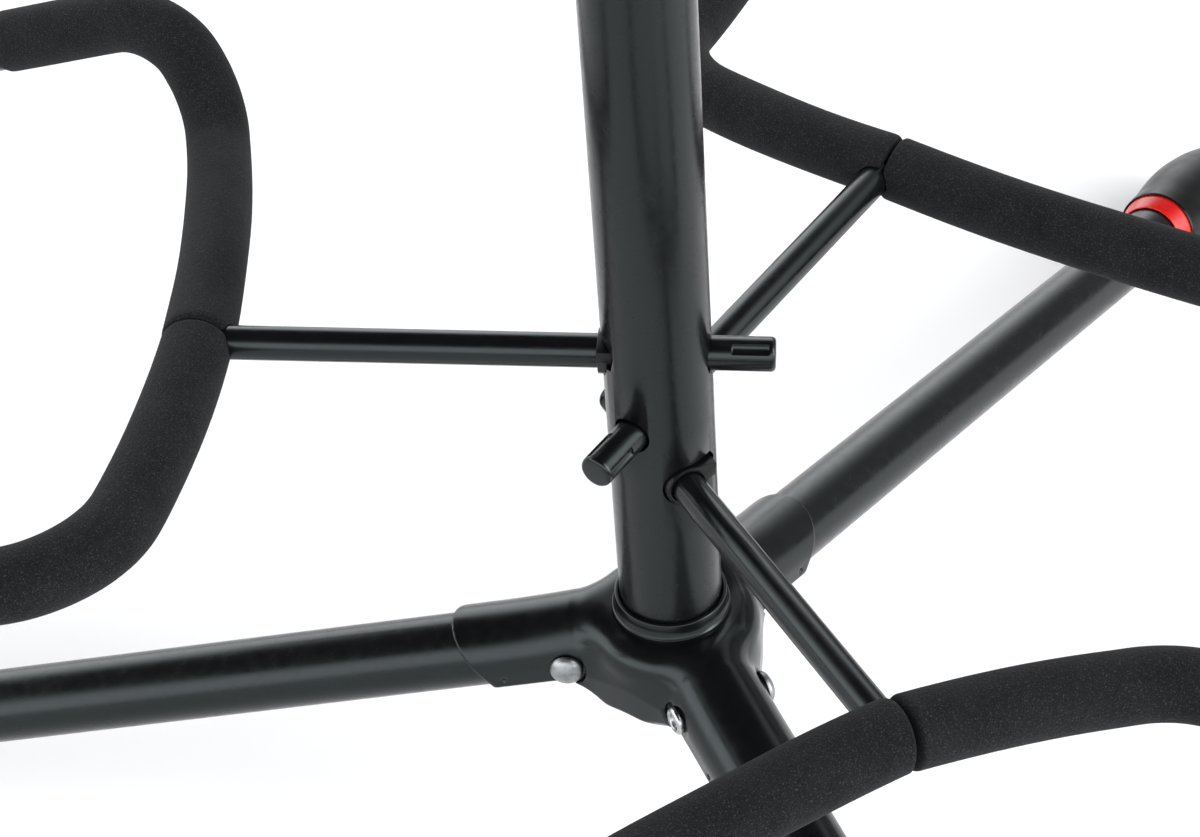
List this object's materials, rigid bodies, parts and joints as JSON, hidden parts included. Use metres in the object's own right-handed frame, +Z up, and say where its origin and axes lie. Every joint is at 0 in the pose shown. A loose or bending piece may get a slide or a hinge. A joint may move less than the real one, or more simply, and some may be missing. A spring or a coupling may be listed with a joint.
{
  "type": "guitar rack",
  "caption": "Free-standing tripod rack: folding rubber-footed legs, a column with pull-out padded U cradles at stepped heights, and a telescoping mast with padded neck forks.",
  "frame": {"origin": "on the floor, under the middle of the rack's bounding box; the column's axis stands 79.5 mm towards +Y of it", "axes": "+Z up along the column, -Y along the leg nearest the camera, +X to the right of someone who looks along +Y"},
  "size_m": [0.7384, 0.6946, 1.0229],
  "materials": {
    "powder_coat": "satin black powder coat",
    "plastic": "matte black",
    "foam": "closed-cell foam, matte charcoal",
    "black_rubber": "soft satin black",
    "red_rubber": "glossy red",
    "zinc": "zinc plated"
  },
  "bodies": {
    "root": {"hub_casting": "powder_coat", "hub_screw": "zinc", "column_plug": "zinc", "lower_column": "powder_coat", "clutch_collar": "plastic", "clutch_shoe": "plastic", "pivot_bolt_1": "zinc", "pivot_nut_1": "zinc", "pivot_bolt_2": "zinc", "pivot_nut_2": "zinc", "pivot_bolt_3": "zinc", "pivot_nut_3": "zinc"},
    "leg_1": {"leg_tube_1": "powder_coat", "foot_band_1": "red_rubber", "rubber_foot_1": "black_rubber"},
    "leg_2": {"leg_tube_2": "powder_coat", "foot_band_2": "red_rubber", "rubber_foot_2": "black_rubber"},
    "leg_3": {"leg_tube_3": "powder_coat", "foot_band_3": "red_rubber", "rubber_foot_3": "black_rubber"},
    "bush_1": {"rod_bush_1": "zinc"},
    "cradle_1": {"cradle_rod_1": "powder_coat", "cradle_bar_1": "powder_coat", "foam_short_1": "foam", "foam_long_1": "foam", "bar_cap_short_1": "plastic", "bar_cap_long_1": "plastic"},
    "bush_2": {"rod_bush_2": "zinc"},
    "cradle_2": {"cradle_rod_2": "powder_coat", "cradle_bar_2": "powder_coat", "foam_short_2": "foam", "foam_long_2": "foam", "bar_cap_short_2": "plastic", "bar_cap_long_2": "plastic"},
    "bush_3": {"rod_bush_3": "zinc"},
    "cradle_3": {"cradle_rod_3": "powder_coat", "cradle_bar_3": "powder_coat", "foam_short_3": "foam", "foam_long_3": "foam", "bar_cap_short_3": "plastic", "bar_cap_long_3": "plastic"},
    "mast_slider": {"slide_bush": "plastic"},
    "mast": {"upper_mast": "powder_coat", "head_casting": "powder_coat", "top_cap": "plastic", "neck_arm_1": "powder_coat", "neck_arm_2": "powder_coat", "neck_arm_3": "powder_coat"},
    "fork_1": {"fork_swivel_1": "zinc", "fork_frame_1": "powder_coat", "fork_pad_1": "black_rubber"},
    "fork_2": {"fork_swivel_2": "zinc", "fork_frame_2": "powder_coat", "fork_pad_2": "black_rubber"},
    "fork_3": {"fork_swivel_3": "zinc", "fork_frame_3": "powder_coat", "fork_pad_3": "black_rubber"},
    "knob": {"clamp_knob": "plastic", "clamp_screw": "zinc"}
  },
  "joints": [
    {"name": "leg_1_fold", "type": "hinge", "parent": "root", "child": "leg_1", "pos_m": [-0.02831, 0.09584, 0.08915], "axis": [-0.5, -0.866, 0], "range_deg": [0, 79]},
    {"name": "leg_2_fold", "type": "hinge", "parent": "root", "child": "leg_2", "pos_m": [0.02831, 0.09584, 0.08915], "axis": [-0.5, 0.866, 0], "range_deg": [0, 79]},
    {"name": "leg_3_fold", "type": "hinge", "parent": "root", "child": "leg_3", "pos_m": [0, 0.04681, 0.08915], "axis": [1, 0, 0], "range_deg": [0, 79]},
    {"name": "cradle_1_roll", "type": "hinge", "parent": "root", "child": "bush_1", "pos_m": [0, 0.0795, 0.2055], "axis": [-0.8726, 0.4877, 0.0279], "range_deg": [-10, 10]},
    {"name": "cradle_1_slide", "type": "slide", "parent": "bush_1", "child": "cradle_1", "axis": [-0.8726, 0.4877, 0.0279], "range_m": [0, 0.045]},
    {"name": "cradle_2_roll", "type": "hinge", "parent": "root", "child": "bush_2", "pos_m": [0, 0.0795, 0.1855], "axis": [0.8586, 0.5118, 0.0279], "range_deg": [-10, 10]},
    {"name": "cradle_2_slide", "type": "slide", "parent": "bush_2", "child": "cradle_2", "axis": [0.8586, 0.5118, 0.0279], "range_m": [0, 0.045]},
    {"name": "cradle_3_roll", "type": "hinge", "parent": "root", "child": "bush_3", "pos_m": [0, 0.0795, 0.1655], "axis": [0.014, -0.9995, 0.0279], "range_deg": [-10, 10]},
    {"name": "cradle_3_slide", "type": "slide", "parent": "bush_3", "child": "cradle_3", "axis": [0.014, -0.9995, 0.0279], "range_m": [0, 0.045]},
    {"name": "mast_height", "type": "slide", "parent": "root", "child": "mast_slider", "axis": [0, 0, 1], "range_m": [-0.12, 0.1]},
    {"name": "mast_turn", "type": "hinge", "parent": "mast_slider", "child": "mast", "pos_m": [0, 0.0795, 0.375], "axis": [0, 0, 1], "range_deg": [-60, 60]},
    {"name": "fork_1_swivel", "type": "hinge", "parent": "mast", "child": "fork_1", "pos_m": [-0.103, 0.13707, 1.00769], "axis": [-0.8729, 0.4879, 0], "range_deg": [-30, 30]},
    {"name": "fork_2_swivel", "type": "hinge", "parent": "mast", "child": "fork_2", "pos_m": [0.10136, 0.13992, 1.00769], "axis": [0.859, 0.512, 0], "range_deg": [-30, 30]},
    {"name": "fork_3_swivel", "type": "hinge", "parent": "mast", "child": "fork_3", "pos_m": [0.00165, -0.03849, 1.00769], "axis": [0.014, -0.9999, 0], "range_deg": [-30, 30]},
    {"name": "clamp_knob_turn", "type": "hinge", "parent": "root", "child": "knob", "pos_m": [0, 0.0795, 0.57], "axis": [0.866, -0.5, 0], "range_deg": [-180, 180]}
  ]
}
